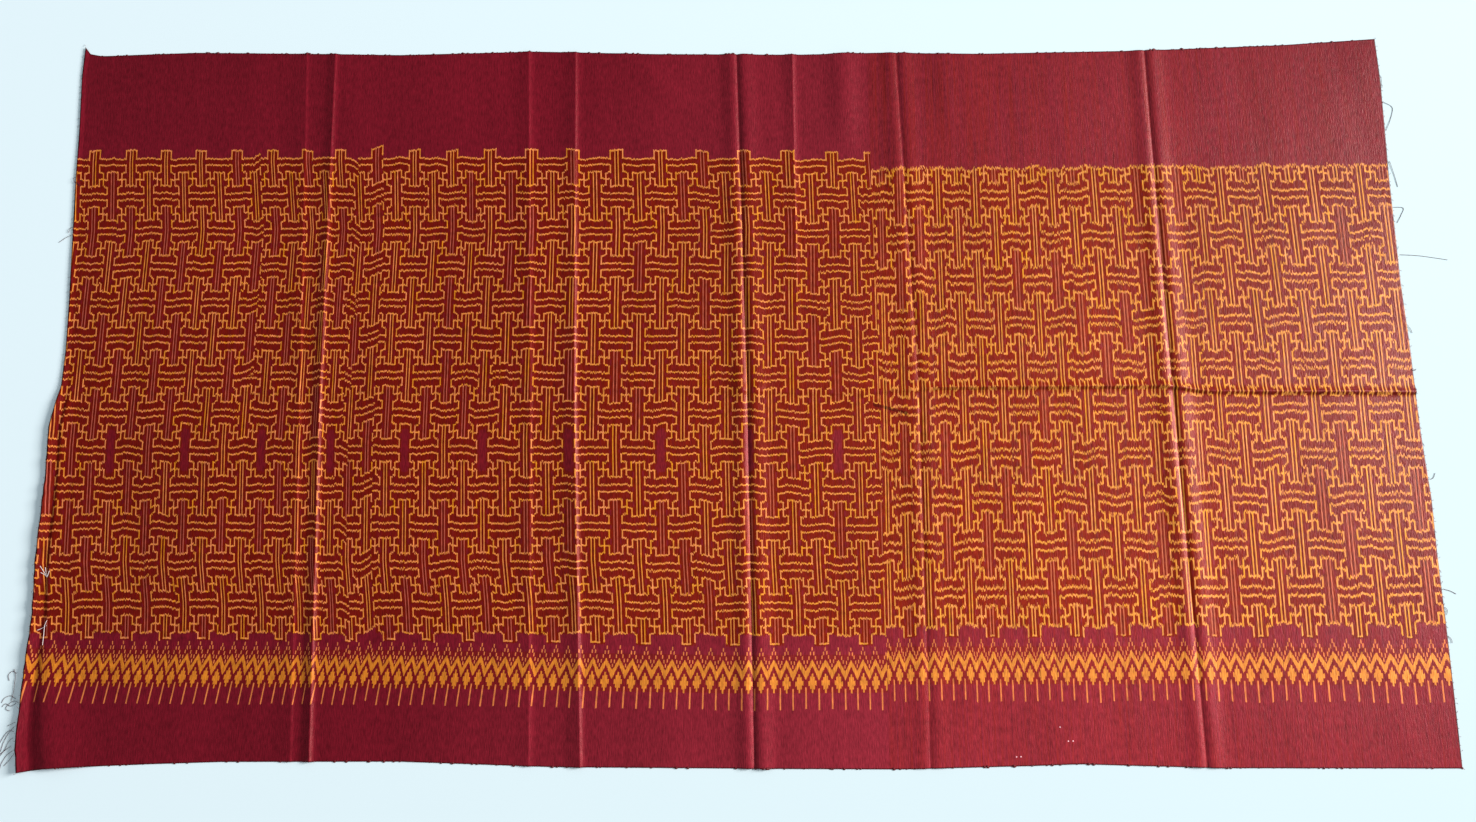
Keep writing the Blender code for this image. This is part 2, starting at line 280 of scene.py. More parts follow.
# How far the weft wanders sideways from there: rows of a height and the millimetres at each of these x
LEFT_LEAN_X = [-0.92, -0.73, -0.60, -0.47, -0.28, -0.10, 0.02, 0.14, 0.195]
LEFT_LEAN = [
    (0.500, [-10, -16, -17, -8, -4, -6, -5, 0, -6]),
    (0.328, [-6, -10, -12, -5, -2, -3, -4, 0, -5]),
    (0.226, [1, 1, 1, 1, 1, 1, 1, 1, 0]),
    (0.128, [0] * 9),
    (-0.074, [0] * 9),
    (-0.230, [7, 8, 7, 6, 6, 4, 3, 1, 0]),
    (-0.285, [15, 17, 15, 13, 13, 8, 6, 3, 1]),
    (-0.338, [19, 20, 19, 18, 17, 10, 7, 3, 1]),
    (-0.410, [7, 8, 8, 8, 10, 6, 6, 3, 1]),
    (-0.500, [-6, -5, -4, -3, 3, 3, 5, 3, 1]),
]
RIGHT_LEAN_X = [0.20, 0.286, 0.446, 0.5076, 0.6836, 0.748, 0.875]
RIGHT_LEAN = [
    (0.500, [4, 2, 0, -6, -8, -13, -6]),
    (0.300, [2, 1, 0, -3.6, -4.6, -9, -3]),
    (0.060, [0] * 7),
    (-0.216, [-2, -2.5, 0, -1.6, -0.6, -2, -1]),
    (-0.500, [-3, -3, 0, -2, -1, -3, -1]),
]
BUNDLES = 14.0  # tied bundles of weft in half a repeat
RIGHT_START = 100  # the right batch's columns are numbered from here, so that the two never meet
LEFT_ROW_ONE = [(-0.888, 0.328), (-0.22, 0.3235), (0.17, 0.3165)]  # height of the first row of bars
LEFT_ROW_STEP = [(-0.888, 0.0510), (-0.22, 0.05096), (0.17, 0.05075)]  # and from row to row
RIGHT_ROW_ONE, RIGHT_ROW_STEP = 0.268, 0.0603
BORDER_LINE_LEFT = [(-0.92, -0.329), (-0.80, -0.331), (-0.40, -0.3346), (-0.10, -0.341), (0.0, -0.343),
                    (0.2, -0.343)]  # height of the border's first line of dashes
BORDER_LINE_RIGHT = [(0.19, -0.3326), (0.60, -0.334), (0.90, -0.3375)]


def lean(table, stations, x, y):
    """How far the weft stands sideways of its place at the middle of the cloth."""
    heights = [row[0] for row in table][::-1]
    columns = np.array([row[1] for row in table][::-1]) * MILLIMETRE
    level = np.interp(y, heights, np.arange(len(heights)))
    low = np.minimum(level.astype(int), len(heights) - 2)
    part = level - low
    place = np.interp(x, stations, np.arange(len(stations)))
    side = np.minimum(place.astype(int), len(stations) - 2)
    along = place - side
    lower = columns[low, side] * (1 - along) + columns[low, side + 1] * along
    upper = columns[low + 1, side] * (1 - along) + columns[low + 1, side + 1] * along
    return lower * (1 - part) + upper * part


def dye_place(x, y, right):
    """Where the tied pattern stands at a place: bundles across, half repeats down, metres into the border."""
    table, stations, bars = LEFT_LEAN, LEFT_LEAN_X, LEFT_BARS
    if right:
        table, stations, bars = RIGHT_LEAN, RIGHT_LEAN_X, RIGHT_BARS
    columns = 2.0 * np.arange(len(bars)) - 2.0 + right * RIGHT_START
    across = np.interp(x - lean(table, stations, x, y), bars, columns * BUNDLES)
    if right:
        return across, (RIGHT_ROW_ONE - y) / RIGHT_ROW_STEP, read(BORDER_LINE_RIGHT, x) - y
    return across, (read(LEFT_ROW_ONE, x) - y) / read(LEFT_ROW_STEP, x), read(BORDER_LINE_LEFT, x) - y


def make_panel(material):
    """The panel's mesh with its UV maps: the cloth in metres, and the places of the dye."""
    xs, ys = panel_grid()
    zs = panel_height(xs, ys)
    rows, columns = xs.shape
    places = np.stack([xs - CENTRE[0], ys - CENTRE[1], zs], axis=-1).reshape(-1, 3)
    corner = np.arange(rows * columns).reshape(rows, columns)
    faces = np.stack([corner[:-1, :-1], corner[:-1, 1:], corner[1:, 1:], corner[1:, :-1]], axis=-1)
    faces = faces.reshape(-1, 4)
    panel = new_object("silk_panel", places, faces.tolist(), material)
    mesh = panel.data
    loop_vertex = np.empty(len(mesh.loops), dtype=int)
    mesh.loops.foreach_get("vertex_index", loop_vertex)
    flat_x, flat_y = xs.ravel(), ys.ravel()
    middle_x, middle_y = flat_x[faces].mean(axis=1), flat_y[faces].mean(axis=1)
    right_face = np.repeat(middle_x > read(JOIN_LINE, middle_y), 4)
    left_place, right_place = dye_place(flat_x, flat_y, False), dye_place(flat_x, flat_y, True)
    bundle, repeat, below = (np.where(right_face, r[loop_vertex], l[loop_vertex])
                             for l, r in zip(left_place, right_place))
    edge = np.minimum(read(TOP_EDGE, flat_x) - flat_y, flat_y - read(BOTTOM_EDGE, flat_x))
    end = np.minimum(flat_x - left_end(flat_y), read(RIGHT_END, flat_y) - flat_x)
    maps = {"Cloth": (flat_x[loop_vertex], flat_y[loop_vertex]), "Dye": (bundle, repeat),
            "Border": (below, right_face.astype(float)), "Edges": (edge[loop_vertex], end[loop_vertex])}
    for name, pair in maps.items():
        layer = mesh.uv_layers.new(name=name)
        layer.data.foreach_set("uv", np.stack(pair, axis=-1).ravel())
    mesh.shade_smooth()
    thickness = panel.modifiers.new("silk_thickness", "SOLIDIFY")
    thickness.thickness = SILK_THICKNESS
    thickness.offset = 1.0
    return panel


# The silk panel, its weave
# Weft threads were tied in bundles and dyed, then woven so that each bundle lays its part of the
# chart: a basket of interlaced bars, and below it the border of dashes, zigzags, lozenges and ticks.
class Reading:
    """A number read at each point of the cloth. Arithmetic on it makes the shader's own maths nodes."""

    def __init__(self, tree, socket):
        self.tree, self.socket = tree, socket

    def feed(self, node, *values):
        """Give a node these readings and numbers in order, and return what comes out of it."""
        for socket, value in zip(node.inputs, values):
            if isinstance(value, Reading):
                self.tree.links.new(value.socket, socket)
            else:
                socket.default_value = value
        return node.outputs[0]

    def work(self, kind, *others):
        node = self.tree.nodes.new("ShaderNodeMath")
        node.operation = kind
        return Reading(self.tree, self.feed(node, self, *others))

    def __add__(self, other):
        return self.work("ADD", other)

    __radd__ = __add__

    def __sub__(self, other):
        return self.work("SUBTRACT", other)

    def __rsub__(self, other):
        return (self * -1.0) + other

    def __mul__(self, other):
        return self.work("MULTIPLY", other)

    def __lt__(self, other):
        return self.work("LESS_THAN", other)

    def __gt__(self, other):
        return self.work("GREATER_THAN", other)

    def __and__(self, other):
        return self.work("MULTIPLY", other)

    def __or__(self, other):
        return self.work("MAXIMUM", other)

    def floor(self):
        return self.work("FLOOR")

    def size(self):
        return self.work("ABSOLUTE")

    def folded(self, length):
        return self.work("PINGPONG", length)

    def near(self, value, reach):
        """One where this is within reach of value, and otherwise nothing."""
        return (self - value).size() < reach

    def between(self, low, high):
        return (self > low) & (self < high)

    def clipped(self):
        return self.work("MINIMUM", 1.0).work("MAXIMUM", 0.0)

    def mixed(self, low, high):
        """low where this is nothing, high where it is one."""
        return self * (high - low) + low

    def at(self, y, z=0.0):
        """This reading and two more as a place for a texture."""
        return self.feed(self.tree.nodes.new("ShaderNodeCombineXYZ"), self, y, z)


def random_by(place, tree):
    """A random number from 0 to 1 for each place."""
    node = tree.nodes.new("ShaderNodeTexWhiteNoise")
    node.noise_dimensions = "3D"
    tree.links.new(place, node.inputs["Vector"])
    return Reading(tree, node.outputs["Value"])


def cloudy(place, tree, detail=0.0):
    """Smooth noise from about -1 to 1."""
    node = tree.nodes.new("ShaderNodeTexNoise")
    node.noise_dimensions = "3D"
    node.inputs["Scale"].default_value = 1.0
    node.inputs["Detail"].default_value = detail
    tree.links.new(place, node.inputs["Vector"])
    return (Reading(tree, node.outputs["Fac"]) - 0.5) * 2.6


def two_readings(tree, name):
    """The two numbers of one of the panel's UV maps."""
    source = tree.nodes.new("ShaderNodeUVMap")
    source.uv_map = name
    split = tree.nodes.new("ShaderNodeSeparateXYZ")
    tree.links.new(source.outputs[0], split.inputs[0])
    return Reading(tree, split.outputs["X"]), Reading(tree, split.outputs["Y"])


def colour_between(share, low, high):
    """One colour turning into another by a reading; each may be a colour or another mix's socket."""
    tree = share.tree
    node = tree.nodes.new("ShaderNodeMix")
    node.data_type = "RGBA"
    tree.links.new(share.socket, node.inputs["Factor"])
    for slot, colour in (("A", low), ("B", high)):
        socket = [s for s in node.inputs if s.name == slot and s.type == "RGBA"][0]
        if isinstance(colour, tuple):
            socket.default_value = (*colour, 1.0)
        else:
            tree.links.new(colour, socket)
    return [s for s in node.outputs if s.type == "RGBA"][0]


def srgb(red, green, blue):
    """A colour given as it looks on a screen, from 0 to 255, as light."""
    return tuple(((c / 255 + 0.055) / 1.055) ** 2.4 if c > 10 else c / 3294.6 for c in (red, green, blue))


# Weft that slipped in the loom: first bundle, how many bundles run askew, how far at the last, last row
SLIPS = [(219.0, 9.0, 0.14, 30.0), (204.0, 5.0, -0.12, 30.0), (125.0, 5.0, 0.12, 6.0)]
DARK_EDGE, DARK_END = 0.0010, 0.0013  # how far in the weave is drawn tight along the sides and the cuts
PIN_MARKS = [(0.3605, -0.4811), (0.3661, -0.4809), (0.4272, -0.4620), (0.4333, -0.4619), (0.4177, -0.4447)]
PIN_REACH = 0.0008
# The painted shade line of the wrinkle at the long fold: a place on it, the direction across it, its run and
# reach
WRINKLE_SHADE_PLACE, WRINKLE_SHADE_ACROSS, WRINKLE_SHADE_RUN, WRINKLE_SHADE_REACH = (0.186, -0.0240), (0.262, 0.965), (0.190, 0.236), 0.0020
PICKS = 3.0  # weft threads in a bundle
WEFT_PITCH, WARP_PITCH = 0.00045, 0.00050  # about two yarns to the millimetre
# The chart of a quarter of a bar, in bundles out from the bar's middle and in half repeats along it
BAR_SIDE, STEP_SIDE = 4.0, 7.0
BAR_END, STEP_END, NEXT_BAR, TONGUE = 0.70, 0.50, 0.09, 0.91
BAR_ABOVE = 0.33  # the left batch's top bars stand this far above its first row
RIGHT_TOP = 0.647  # and the right batch is cut straight this far above its own
LAST_ENDS = (12.725, 9.725)  # half repeats down to where the last bars end, left and right
PLAIN_ROW = 8.0  # every other bar of this row of the left batch has no inner lines


def make_silk():
    """The ikat silk: chart, dye, yarns and sheen."""
    material, shader = plain_material("ikat_silk", srgb(110, 24, 34), 0.38, 0.33)
    tree = material.node_tree
    x, y = two_readings(tree, "Cloth")
    across, down = two_readings(tree, "Dye")
    below, right = two_readings(tree, "Border")
    edge, end = two_readings(tree, "Edges")
    left = 1.0 - right

    # bundles, and the single picks in them, each laid a little too high or low
    bundle = (across + 0.5).floor()
    in_bundle = (across + 0.5) - bundle
    pick = (across * PICKS).floor()
    sway = cloudy((bundle * 0.085).at(down * 0.22, 3.0), tree) * right.mixed(0.060, 0.080)
    own = cloudy((bundle * 7.31).at(down * 0.40, 11.0), tree) * right.mixed(0.034, 0.044)
    fine = cloudy((pick * 5.77).at(down * 2.1, 23.0), tree) * right.mixed(0.034, 0.056)
    shift = sway + own + fine
    for first, count, far, last_row in SLIPS:
        along = (bundle - first) * (1.0 / count)
        shift = shift + along * far * along.between(0.0, 1.01) * (down < last_row) * left
    level = down + shift

    # the motif's chart, folded onto one quarter of a bar: k bundles out from it and h half repeats along
    k_even = bundle.folded(BUNDLES)
    h_even = level.folded(1.0)
    turned = (k_even * (1.0 / BUNDLES) + h_even) > 1.0
    k = k_even + turned * (BUNDLES - k_even * 2.0)
    h = h_even + turned * (1.0 - h_even * 2.0)
    thick = right.mixed(0.0195, 0.0235)
    core = in_bundle.near(0.5, right.mixed(0.38, 0.46))
    fine_core = in_bundle.near(0.5, right.mixed(0.32, 0.40))

    def motif_lines(half, reach, yarns):
        """The chart's lines: how thick a level one is to each side, and how far and wide they reach."""
        step = k.between(BAR_SIDE - reach, STEP_SIDE + reach)
        level_lines = (
            h.near(BAR_END, half) & (k < BAR_SIDE + reach)
            | h.near(NEXT_BAR, half) & (k > BAR_SIDE - reach)
            | h.near(TONGUE, half) & (k < 1.0 + reach)
            | (h - 0.28 - (k - BAR_SIDE) * 0.017).near(0.0, half) & step
            | h.near(STEP_END, half) & step
        )
        standing_lines = (
            k.near(BAR_SIDE, reach) & (h.between(STEP_END, BAR_END) | h.between(NEXT_BAR, 0.29))
            | k.near(STEP_SIDE, reach) & h.between(0.33, 0.52)
        )
        return level_lines | standing_lines & yarns

    chart = motif_lines(thick, 0.5, core)
    inner = k.near(1.0, 0.5) & (h < BAR_END) & fine_core

    # its upper end: on the left a bar stands above the first row, on the right all is cut straight
    above = level * -1.0
    top_left = (
        above.near(BAR_ABOVE, thick) & (k_even < BAR_SIDE + 0.5)
        | k_even.near(BAR_SIDE, 0.5) & above.between(NEXT_BAR, BAR_ABOVE) & core
        | above.near(NEXT_BAR, thick) & (k_even > BAR_SIDE - 0.5)
    )
    inner_top = k_even.near(1.0, 0.5) & (above < BAR_ABOVE) & fine_core
    above_left = left & (level < 0.0)
    above_right = right & (level < -RIGHT_TOP)
    cap_right = right & level.near(-RIGHT_TOP, thick) & (1.0 - k_even.near(6.5, 1.0))
    chart = above_left.mixed(chart, top_left) & (1.0 - above_right) | cap_right
    inner = above_left.mixed(inner, inner_top) & (1.0 - above_right)

    # its lower end, where the last row of bars is cut: two of its lines joined by a foot, the rest open
    cut = below + shift * 0.020
    pair = (bundle * (0.5 / BUNDLES)).floor()
    from_bar = (bundle - pair * (2.0 * BUNDLES) - BUNDLES) * (1.0 - pair.folded(1.0) * 2.0)
    foot_line = cut.near(-0.0035, 0.0011)
    foot = foot_line & (left & from_bar.between(-1.5, 4.5) | right & (k_even < 1.5))
    closed = left & from_bar.between(1.5, 5.5) & (cut > -0.0025)
    k_end = right.mixed(k_even, BUNDLES - k_even)
    under_cap = (level > right.mixed(*LAST_ENDS)) & (k_end < 9.5)
    past = under_cap | (cut > -0.001)
    chart = chart & (cut < 0.0) & (1.0 - closed) & (1.0 - under_cap) | foot
    inner = inner & (cut < -0.0025)
    bars_across = across * (0.5 / BUNDLES)
    even_bar = (bars_across + 0.5).floor()
    no_lines = left & level.near(PLAIN_ROW, 0.75) & (1.0 - turned) & even_bar.folded(1.0)
    inner = inner & (1.0 - no_lines)
    halo = motif_lines(thick + 0.026, 1.5, 1.0) | (k < 2.5) & (h < 0.72) & (1.0 - no_lines)
    in_top_bar = above_left & (k_even < BAR_SIDE + 0.5) & (above < BAR_ABOVE)
    in_motif = (1.0 - past) & (level > right.mixed(-NEXT_BAR, -0.66)) | in_top_bar

    # the border, in metres below its first line of dashes, by eighths of its own repeat
    border_low = below + shift * 0.028
    kb = bundle.folded(4.0)
    kb_pick = (pick * (1.0 / PICKS) + 0.17).folded(4.0)
    dash_half = right.mixed(0.0022, 0.0027)
    dashes = (border_low - 0.003 - kb * 0.0055).near(0.0, dash_half) & in_bundle.near(0.5, 0.36)
    zigzag = ((border_low - kb_pick * 0.0038) > 0.0160) & ((border_low - kb_pick * 0.0046) < 0.0242)
    lozenge = (border_low.between(0.034, 0.058) & (kb < 0.5)
               | border_low.between(0.038, 0.0535) & kb.near(1.0, 0.5)
               | border_low.between(0.043, 0.049) & kb.near(2.0, 0.5))
    tick = (kb > 3.5) & in_bundle.near(0.5, 0.46) & border_low.between(0.052, 0.079)
    gold_border = zigzag | lozenge
    near_border = below.between(0.010, 0.058)

    # which bars have pale inner lines, and the streaks of unlike weft yarns
    # the share by which the cloth pales towards the right: partly the dye's own change, partly painted light
    # standing in for the window's stronger light there
    dye_and_light_share = ((x - y * 0.25 + 0.35) * 1.25).clipped()
    bar_even = even_bar.at((level * 0.5 + 0.5).floor(), 1.0)
    bar_odd = bars_across.floor().at((level * 0.5).floor(), 7.0)
    lot = turned.mixed(random_by(bar_even, tree), random_by(bar_odd, tree))
    mauve = (lot < dye_and_light_share.mixed(0.38, 0.22)) & inner
    streak = cloudy((across * 0.7).at(down * 0.25, 41.0), tree, 2.0)
    slub = cloudy((across * 3.7).at(down * 1.3, 57.0), tree, 1.0)
    dark_yarn = ((cloudy((pick * 0.77).at(down * 0.55, 87.0), tree) - 0.30) * 3.0).clipped()
    lot_of_gold = (cloudy((bundle * 0.61).at(down * 0.9, 33.0), tree) * 0.8 + 0.45).clipped()

    def dyed_and_lit(at_left, at_right):
        """A colour that pales from left to right, given as it looks on a screen: partly the dye's own change,
        partly painted light for the window's stronger light on the right.
        """
        return colour_between(dye_and_light_share, srgb(*at_left), srgb(*at_right))

    # colours: a crimson ground, brown where the gold lies close, and two golds, now one and now the other
    crimson = dyed_and_lit((108, 14, 30), (132, 34, 47))
    brown = dyed_and_lit((106, 13, 0), (126, 28, 3))
    # painted shade: crimson and brown drawn darker towards the right end, against the window's gloss there
    far = ((x - 0.50) * 2.5).clipped()
    crimson = colour_between(far, crimson, srgb(117, 28, 41))
    brown = colour_between(far, brown, srgb(102, 11, 0))
    earthy = right * ((streak * 0.6) + 0.20).clipped()
    plain = colour_between(earthy, crimson, brown)
    rusty = (streak * 0.5 + 0.88).clipped()
    bar_body = (k < 3.5) & (h < 0.56)
    brown_share = in_motif * rusty * (1.0 - bar_body * 0.7) | near_border * 0.45
    ground = colour_between(brown_share, plain, brown)
    ground = colour_between(in_motif & halo, ground, brown)
    peach = dyed_and_lit((224, 130, 78), (222, 140, 76))
    yellow = dyed_and_lit((212, 130, 22), (220, 144, 36))
    gold = colour_between(lot_of_gold, peach, yellow)
    border_gold = dyed_and_lit((204, 119, 32), (210, 128, 50))
    pale = dyed_and_lit((212, 120, 62), (212, 118, 62))
    mauve_colour = dyed_and_lit((186, 92, 74), (196, 104, 70))
    worn = cloudy((pick * 3.1).at(down * 3.0, 71.0), tree) * 0.22
    woven = colour_between((chart * (0.92 + worn)).clipped(), ground, gold)
    woven = colour_between((inner & (1.0 - mauve)) * 0.85, woven, gold)
    woven = colour_between(mauve * 0.70, woven, mauve_colour)
    woven = colour_between((gold_border * (0.90 + worn)).clipped(), woven, border_gold)
    woven = colour_between((dashes | tick) * 0.88, woven, pale)
    for mark_x, mark_y in PIN_MARKS:
        mark = x.near(mark_x, PIN_REACH) & y.near(mark_y, PIN_REACH)
        woven = colour_between(mark * 0.85, woven, srgb(226, 176, 182))
    band = cloudy((x * 17.0).at(y * 3.1, 91.0), tree, 1.0)
    mottle = cloudy((x * 130.0).at(y * 95.0, 97.0), tree, 3.0)
    grain = cloudy((x * 680.0).at(y * 115.0, 15.0), tree, 1.0)
    tone = slub * right.mixed(0.15, 0.25) + streak * right.mixed(0.07, 0.15) + band * 0.13
    tone = tone + mottle * 0.24 + grain * 0.34 + 1.0
    tone = tone - dark_yarn * right.mixed(0.08, 0.24)
    tone = tone - (edge < DARK_EDGE) * 0.55 - (end < DARK_END) * 0.72
    # painted shade along the near side of the long fold, which drops with its line, painted shade along
    # the line of its wrinkle, and the gap between inner lines
    fold_drop = ((x - 0.58) * (1.0 / 0.06)).clipped() * 0.008
    fold_drop = fold_drop + ((x - 0.64) * (1.0 / 0.28)).clipped() * 0.003
    fold_shade_line = (y + 0.0042 + fold_drop).near(0.0, 0.0019) & (x > 0.27)
    aside = (x - WRINKLE_SHADE_PLACE[0]) * WRINKLE_SHADE_ACROSS[0] + (y - WRINKLE_SHADE_PLACE[1]) * WRINKLE_SHADE_ACROSS[1]
    tone = tone - aside.near(0.0, WRINKLE_SHADE_REACH) * x.between(*WRINKLE_SHADE_RUN) * 0.50
    gap = inner.near(0.0, 0.5) & (k < 0.5) & (h < BAR_END) & in_motif & (1.0 - no_lines)
    tone = tone - fold_shade_line * 0.25 - gap * 0.22
    # painted shade: on the right the cloth is drawn darker towards the top and lighter towards the bottom,
    # against the window's stronger light at the top
    tone = tone * (1.0 - y * dye_and_light_share * 0.36)
    shade = tree.nodes.new("ShaderNodeVectorMath")
    shade.operation = "SCALE"
    tree.links.new(woven, shade.inputs[0])
    tree.links.new(tone.socket, shade.inputs["Scale"])
    tree.links.new(shade.outputs[0], shader.inputs["Base Color"])

    # the yarns' own relief
    weft = (x * (2.0 * math.pi / WEFT_PITCH)).work("SINE")
    warp = (y * (2.0 * math.pi / WARP_PITCH)).work("SINE")
    relief = weft * warp * 0.18 + slub * 0.9 + grain * 2.0 + mottle * 1.2 + dark_yarn * 0.5
    bump = tree.nodes.new("ShaderNodeBump")
    bump.inputs["Strength"].default_value = 0.5
    bump.inputs["Distance"].default_value = 0.00012
    tree.links.new(relief.socket, bump.inputs["Height"])
    tree.links.new(bump.outputs[0], shader.inputs["Normal"])
    shader.inputs["Specular Tint"].default_value = (1.0, 0.42, 0.38, 1.0)
    return material


silk_panel = make_panel(make_silk())
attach(silk_panel, "root")
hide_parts("cloth")


# The selvedges
# Along the two long sides the weft turns back round a darker warp cord. Its loops stand out from the
# cord as small uneven nubs, more of them along the far side.
CORD_RADIUS = 0.00045
NUB_SPACING = 0.0021
NUB_SIZE = 0.0015
NUB_SHARE = [("top", 0.62), ("bottom", 0.34)]  # of the places that have a nub


def yarn_material(name, dark, light):
    """Spun yarn of one dye lot, a little uneven in colour along its length."""
    material, shader = plain_material(name, dark, 0.6, 0.25)
    tree = material.node_tree
    place = tree.nodes.new("ShaderNodeTexCoord")
    noise = tree.nodes.new("ShaderNodeTexNoise")
    noise.inputs["Scale"].default_value = 420.0
    tree.links.new(place.outputs["Object"], noise.inputs["Vector"])
    spun = Reading(tree, noise.outputs["Fac"])
    tree.links.new(colour_between(spun, dark, light), shader.inputs["Base Color"])
    bump = tree.nodes.new("ShaderNodeBump")
    bump.inputs["Distance"].default_value = 0.0001
    tree.links.new(spun.socket, bump.inputs["Height"])
    tree.links.new(bump.outputs[0], shader.inputs["Normal"])
    return material


def polylines(name, lines, material):
    """Open lines through lists of places, for a tree to build on."""
    starts = np.cumsum([0] + [len(line) for line in lines]).tolist()
    edges = [(i, i + 1) for a, b in zip(starts[:-1], starts[1:]) for i in range(a, b - 1)]
    return new_object(name, [place for line in lines for place in line], [], material, edges)


def new_tree(name, inputs):
    """A Geometry Nodes tree with named inputs: the tree, its inputs, the lines it is given, its output."""
    tree = bpy.data.node_groups.new(name, "GeometryNodeTree")
    tree.interface.new_socket("Geometry", in_out="INPUT", socket_type="NodeSocketGeometry")
    for label, kind in inputs:
        tree.interface.new_socket(label, in_out="INPUT", socket_type="NodeSocket" + kind)
    tree.interface.new_socket("Geometry", in_out="OUTPUT", socket_type="NodeSocketGeometry")
    given, result = tree.nodes.new("NodeGroupInput").outputs, tree.nodes.new("NodeGroupOutput").inputs[0]
    line = add_node(tree, "GeometryNodeMeshToCurve", {"Mesh": given["Geometry"]}).outputs[0]
    return tree, given, line, result


def add_node(tree, kind, inputs=None, **settings):
    """One node of a tree, with its settings and with a value or another node's socket for each input."""
    node = tree.nodes.new(kind)
    for setting, value in settings.items():
        setattr(node, setting, value)
    for place, value in (inputs or {}).items():
        value = value.socket if isinstance(value, Reading) else value
        if isinstance(value, bpy.types.NodeSocket):
            tree.links.new(value, node.inputs[place])
        else:
            node.inputs[place].default_value = value
    return node


def random_number(tree, low, high, seed):
    """A random number for each thing, as a reading."""
    node = add_node(tree, "FunctionNodeRandomValue", {2: low, 3: high, 8: seed}, data_type="FLOAT")
    return Reading(tree, node.outputs[1])


def round_yarn(tree, line, radius, sides):
    """A round closed yarn of a few sides along each line."""
    ring = add_node(tree, "GeometryNodeCurvePrimitiveCircle", {"Resolution": sides, "Radius": radius})
    tube = add_node(tree, "GeometryNodeCurveToMesh", {
        "Curve": line, "Profile Curve": ring.outputs[0], "Fill Caps": True})
    return tube.outputs[0]


def finish_tree(tree, made, yarn, result, smooth=True):
    """The tree's last steps: one plain mesh, with the yarn's material."""
    real = add_node(tree, "GeometryNodeRealizeInstances", {0: made})
    if smooth:
        real = add_node(tree, "GeometryNodeSetShadeSmooth", {0: real.outputs[0]})
    dyed = add_node(tree, "GeometryNodeSetMaterial", {0: real.outputs[0], "Material": yarn})
    tree.links.new(dyed.outputs[0], result)
    return tree


def grow(base, tree, values):
    """Run a tree on a base of lines and keep what it makes as the object's own plain mesh."""
    modifier = base.modifiers.new("grown", "NODES")
    modifier.node_group = tree
    for item in tree.interface.items_tree:
        if item.in_out == "INPUT" and item.name in values:
            modifier[item.identifier] = values[item.name]
    evaluated = base.evaluated_get(bpy.context.evaluated_depsgraph_get())
    mesh = bpy.data.meshes.new_from_object(evaluated)
    base.modifiers.remove(modifier)
    base.data = mesh
    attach(base, "root")
    return base


def selvedge_tree():
    """A cord along each line, and nubs on it where chance and the line's share allow."""
    sizes = [("Cord Radius", "Float"), ("Nub Spacing", "Float"), ("Nub Size", "Float"),
             ("Yarn", "Material")]
    tree, given, line, result = new_tree("selvedge_cord_and_nubs", sizes)
    cord = round_yarn(tree, line, given["Cord Radius"], 6)
    points = add_node(tree, "GeometryNodeCurveToPoints", {"Curve": line, "Length": given["Nub Spacing"]},
                      mode="LENGTH")
    share = add_node(tree, "GeometryNodeInputNamedAttribute", {"Name": "share"}, data_type="FLOAT")
    chosen = random_number(tree, 0.0, 1.0, 3) < Reading(tree, share.outputs[0])
    grain = add_node(tree, "GeometryNodeMeshIcoSphere", {"Radius": 1.0, "Subdivisions": 1})
    chance = random_number(tree, 0.0, 1.0, 5)
    size = (chance * chance * chance * 1.2 + 0.22) * Reading(tree, given["Nub Size"])
    scale = (size * random_number(tree, 0.8, 1.7, 7)).at(size, size * 0.32)
    turn = add_node(tree, "FunctionNodeRandomValue", {0: (0.0, 0.0, -0.7), 1: (0.0, 0.0, 0.7), 8: 9},
                    data_type="FLOAT_VECTOR")
    nubs = add_node(tree, "GeometryNodeInstanceOnPoints", {
        "Points": points.outputs[0], "Selection": chosen, "Instance": grain.outputs[0],
        "Rotation": turn.outputs[0], "Scale": scale})
    both = add_node(tree, "GeometryNodeJoinGeometry", {0: nubs.outputs[0]})
    tree.links.new(cord, both.inputs[0])
    return finish_tree(tree, both.outputs[0], given["Yarn"], result)


def panel_line(row, column):
    """Places along one side or end of the panel, at the middle of its thickness."""
    xs, ys = panel_grid()
    xs, ys = xs[row, column], ys[row, column]
    zs = np.maximum(panel_height(xs, ys) + SILK_THICKNESS / 2, CORD_RADIUS)
    return list(zip(xs - CENTRE[0], ys - CENTRE[1], zs))


def make_selvedges():
    """Both selvedges as one piece."""
    sides = {"top": panel_line(-1, slice(None)), "bottom": panel_line(0, slice(None))}
    dark = yarn_material("selvedge_yarn", srgb(70, 12, 18), srgb(104, 22, 28))
    base = polylines("selvedges", [sides[name] for name, share in NUB_SHARE], dark)
    shares = base.data.attributes.new("share", "FLOAT", "POINT")
    shares.data.foreach_set("value", [share for name, share in NUB_SHARE for place in sides[name]])
    return grow(base, selvedge_tree(), {
        "Cord Radius": CORD_RADIUS, "Nub Spacing": NUB_SPACING, "Nub Size": NUB_SIZE, "Yarn": dark})


selvedges = make_selvedges()


# The frayed ends
# The cloth was cut across and never hemmed, so the warp's ends stand out a few millimetres past the
# last weft, and drop onto the table.
FRAY_YARNS = 104
FRAY_RADIUS = 0.00016
FRAY_DROP = 0.0016
FRAY_SHORTEST = 0.0012
FRAY_TURN = 0.8  # to each side of straight out, in radians
# Each end: its column of the panel's mesh, the way it faces, its longest yarn
FRAYED_ENDS = [("frayed_end_left", 0, math.pi, 0.0045), ("frayed_end_right", -1, 0.0, 0.0040)]


